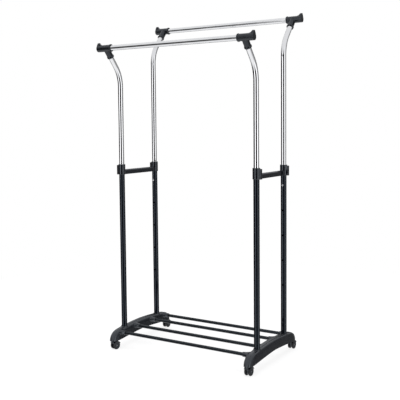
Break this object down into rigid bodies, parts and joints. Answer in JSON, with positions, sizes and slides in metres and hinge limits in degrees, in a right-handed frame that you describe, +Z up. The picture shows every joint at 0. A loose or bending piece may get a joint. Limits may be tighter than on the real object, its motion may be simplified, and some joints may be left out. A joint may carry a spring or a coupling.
{
  "type": "rolling clothes rack",
  "caption": "Double-rail rolling clothes rack with telescopic chrome frames over black posts, a slatted base shelf and swivel casters.",
  "frame": {"origin": "on the floor, at the middle of the rack's footprint", "axes": "+X along the rails to the right, +Y to the back, where the higher rail is, +Z up"},
  "size_m": [0.851, 0.5264, 1.6372],
  "materials": {
    "chrome": "polished",
    "black_steel": "gloss",
    "black_plastic": "satin",
    "wheel_plastic": "satin",
    "steel": "satin"
  },
  "bodies": {
    "base": {"left_foot": "black_plastic", "right_foot": "black_plastic", "shelf_bar_1": "black_steel", "shelf_bar_2": "black_steel", "shelf_bar_3": "black_steel", "shelf_bar_4": "black_steel", "front_left_post": "black_steel", "front_right_post": "black_steel", "back_left_post": "black_steel", "back_right_post": "black_steel", "left_bridge": "black_plastic", "right_bridge": "black_plastic"},
    "front_frame": {"front_rail": "chrome", "front_left_arm": "chrome", "front_left_tee": "black_plastic", "front_right_arm": "chrome", "front_right_tee": "black_plastic"},
    "back_frame": {"back_rail": "chrome", "back_left_arm": "chrome", "back_left_tee": "black_plastic", "back_right_arm": "chrome", "back_right_tee": "black_plastic"},
    "front_left_button": {"front_left_snap_button": "chrome"},
    "front_right_button": {"front_right_snap_button": "chrome"},
    "back_left_button": {"back_left_snap_button": "chrome"},
    "back_right_button": {"back_right_snap_button": "chrome"},
    "front_left_caster": {"front_left_caster_stem": "steel", "front_left_caster_hood": "black_plastic", "front_left_caster_axle": "steel"},
    "front_left_wheel_left": {"front_left_wheel_left": "wheel_plastic"},
    "front_left_wheel_right": {"front_left_wheel_right": "wheel_plastic"},
    "front_right_caster": {"front_right_caster_stem": "steel", "front_right_caster_hood": "black_plastic", "front_right_caster_axle": "steel"},
    "front_right_wheel_left": {"front_right_wheel_left": "wheel_plastic"},
    "front_right_wheel_right": {"front_right_wheel_right": "wheel_plastic"},
    "back_left_caster": {"back_left_caster_stem": "steel", "back_left_caster_hood": "black_plastic", "back_left_caster_axle": "steel"},
    "back_left_wheel_left": {"back_left_wheel_left": "wheel_plastic"},
    "back_left_wheel_right": {"back_left_wheel_right": "wheel_plastic"},
    "back_right_caster": {"back_right_caster_stem": "steel", "back_right_caster_hood": "black_plastic", "back_right_caster_axle": "steel"},
    "back_right_wheel_left": {"back_right_wheel_left": "wheel_plastic"},
    "back_right_wheel_right": {"back_right_wheel_right": "wheel_plastic"}
  },
  "joints": [
    {"name": "front_height_slide", "type": "slide", "parent": "base", "child": "front_frame", "axis": [0, 0, 1], "range_m": [-0.36, 0.12], "deforming": ["front_left_snap_button", "front_right_snap_button"]},
    {"name": "back_height_slide", "type": "slide", "parent": "base", "child": "back_frame", "axis": [0, 0, 1], "range_m": [-0.48, 0], "deforming": ["back_left_snap_button", "back_right_snap_button"]},
    {"name": "front_left_button_press", "type": "slide", "parent": "front_frame", "child": "front_left_button", "axis": [0, -1, 0], "range_m": [0, 0.0045], "stiffness_N_per_m": 1800, "deforming": ["front_left_snap_button"]},
    {"name": "front_right_button_press", "type": "slide", "parent": "front_frame", "child": "front_right_button", "axis": [0, -1, 0], "range_m": [0, 0.0045], "stiffness_N_per_m": 1800, "deforming": ["front_right_snap_button"]},
    {"name": "back_left_button_press", "type": "slide", "parent": "back_frame", "child": "back_left_button", "axis": [0, 1, 0], "range_m": [0, 0.0045], "stiffness_N_per_m": 1800, "deforming": ["back_left_snap_button"]},
    {"name": "back_right_button_press", "type": "slide", "parent": "back_frame", "child": "back_right_button", "axis": [0, 1, 0], "range_m": [0, 0.0045], "stiffness_N_per_m": 1800, "deforming": ["back_right_snap_button"]},
    {"name": "front_left_caster_swivel", "type": "hinge", "parent": "base", "child": "front_left_caster", "pos_m": [-0.377, -0.226, 0.05], "axis": [0, 0, 1], "continuous": true},
    {"name": "front_left_wheel_left_spin", "type": "hinge", "parent": "front_left_caster", "child": "front_left_wheel_left", "pos_m": [-0.37506, -0.21824, 0.02], "axis": [0.9703, -0.2419, 0], "continuous": true},
    {"name": "front_left_wheel_right_spin", "type": "hinge", "parent": "front_left_caster", "child": "front_left_wheel_right", "pos_m": [-0.37506, -0.21824, 0.02], "axis": [0.9703, -0.2419, 0], "continuous": true},
    {"name": "front_right_caster_swivel", "type": "hinge", "parent": "base", "child": "front_right_caster", "pos_m": [0.377, -0.226, 0.05], "axis": [0, 0, 1], "continuous": true},
    {"name": "front_right_wheel_left_spin", "type": "hinge", "parent": "front_right_caster", "child": "front_right_wheel_left", "pos_m": [0.377, -0.218, 0.02], "axis": [1, 0, 0], "continuous": true},
    {"name": "front_right_wheel_right_spin", "type": "hinge", "parent": "front_right_caster", "child": "front_right_wheel_right", "pos_m": [0.377, -0.218, 0.02], "axis": [1, 0, 0], "continuous": true},
    {"name": "back_left_caster_swivel", "type": "hinge", "parent": "base", "child": "back_left_caster", "pos_m": [-0.377, 0.226, 0.05], "axis": [0, 0, 1], "continuous": true},
    {"name": "back_left_wheel_left_spin", "type": "hinge", "parent": "back_left_caster", "child": "back_left_wheel_left", "pos_m": [-0.37742, 0.23399, 0.02], "axis": [0.9986, 0.0523, 0], "continuous": true},
    {"name": "back_left_wheel_right_spin", "type": "hinge", "parent": "back_left_caster", "child": "back_left_wheel_right", "pos_m": [-0.37742, 0.23399, 0.02], "axis": [0.9986, 0.0523, 0], "continuous": true},
    {"name": "back_right_caster_swivel", "type": "hinge", "parent": "base", "child": "back_right_caster", "pos_m": [0.377, 0.226, 0.05], "axis": [0, 0, 1], "continuous": true},
    {"name": "back_right_wheel_left_spin", "type": "hinge", "parent": "back_right_caster", "child": "back_right_wheel_left", "pos_m": [0.377, 0.234, 0.02], "axis": [1, 0, 0], "continuous": true},
    {"name": "back_right_wheel_right_spin", "type": "hinge", "parent": "back_right_caster", "child": "back_right_wheel_right", "pos_m": [0.377, 0.234, 0.02], "axis": [1, 0, 0], "continuous": true}
  ]
}
